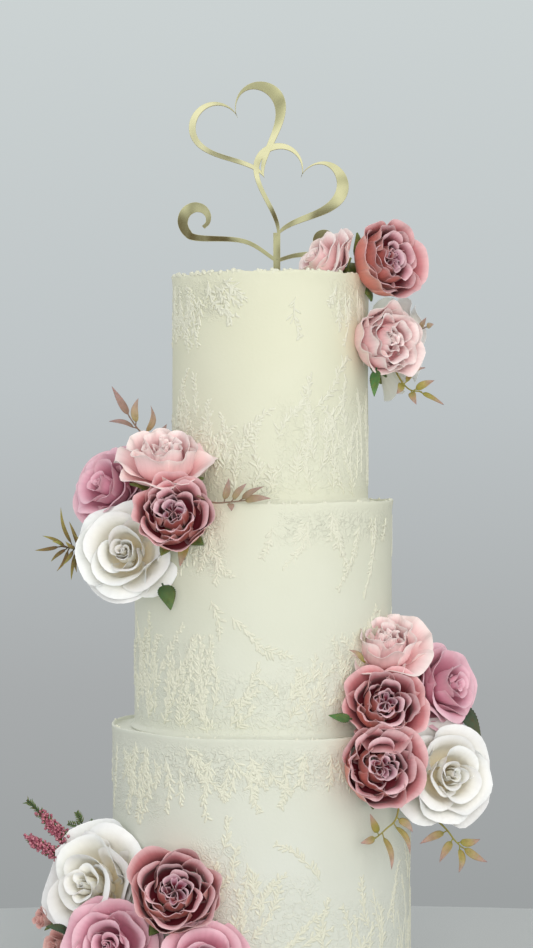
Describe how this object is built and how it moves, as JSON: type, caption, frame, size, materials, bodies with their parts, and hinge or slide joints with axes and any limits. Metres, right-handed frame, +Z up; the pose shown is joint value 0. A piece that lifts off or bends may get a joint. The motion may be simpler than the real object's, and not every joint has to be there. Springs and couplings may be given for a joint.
{
  "type": "tiered wedding cake",
  "caption": "Tall round tiered wedding cake in ivory icing with floral relief, clusters of silk roses and peonies, and a gold heart topper on a stake.",
  "frame": {"origin": "centre of the flat base of the lowest tier", "axes": "+Z up through the tiers, -Y towards the front that carries the flowers, +X to the right seen from the front"},
  "size_m": [0.3668, 0.2689, 0.7068],
  "materials": {
    "icing": "ivory buttercream, smooth, soft satin, with raised piped relief",
    "gold_mirror": "pale gold mirror acrylic, polished faces",
    "silk_white": "ivory silk petals, matt, creamy in the folds",
    "silk_pink": "blush pink silk petals, paler at the edges",
    "silk_dusty": "dusty rose silk petals, matt",
    "silk_mauve": "two-tone silk petals, dark mauve inside and terracotta pink outside",
    "silk_bud": "brownish pink silk buds",
    "leaf_green": "dark green silk leaves with veins",
    "leaf_olive": "olive silk leaves that turn pink at the tips",
    "leaf_russet": "brownish pink slim leaves on a thin stem",
    "heather_pink": "small dusty pink beads on a green stem"
  },
  "bodies": {
    "root": {"tier_bottom": "icing", "tier_middle": "icing", "tier_top": "icing", "topper": "gold_mirror", "peony_mauve_top": "silk_mauve", "peony_pink_top": "silk_pink", "rose_pink_top": "silk_pink", "rose_white_top": "silk_white", "peony_mauve_left": "silk_mauve", "peony_pink_left": "silk_pink", "rose_white_left": "silk_white", "rose_mauve_left": "silk_dusty", "rose_white_right": "silk_white", "peony_mauve_right_upper": "silk_mauve", "peony_mauve_right_lower": "silk_mauve", "rose_pale_right": "silk_pink", "rose_dusty_right": "silk_dusty", "peony_mauve_bottom": "silk_mauve", "rose_pink_bottom": "silk_dusty", "rose_white_bottom": "silk_white", "rose_pink_bottom_right": "silk_dusty", "bud_left_upper": "silk_bud", "bud_left_lower": "silk_bud", "sprig_top": "leaf_olive", "twig_top": "leaf_russet", "leaf_green_top": "leaf_green", "sprig_left_up": "leaf_russet", "sprig_left_over": "leaf_russet", "spiky_left": "leaf_green", "leaf_green_left": "leaf_green", "leaf_brown_left": "leaf_olive", "sprig_right_low": "leaf_olive", "sprig_right_far": "leaf_olive", "leaf_dark_right": "leaf_green", "leaf_small_right": "leaf_green", "leaf_slim_right": "leaf_olive", "heather_upper": "heather_pink", "heather_lower": "heather_pink", "cedar_left": "leaf_green", "leaf_bottom": "leaf_green"}
  },
  "joints": []
}
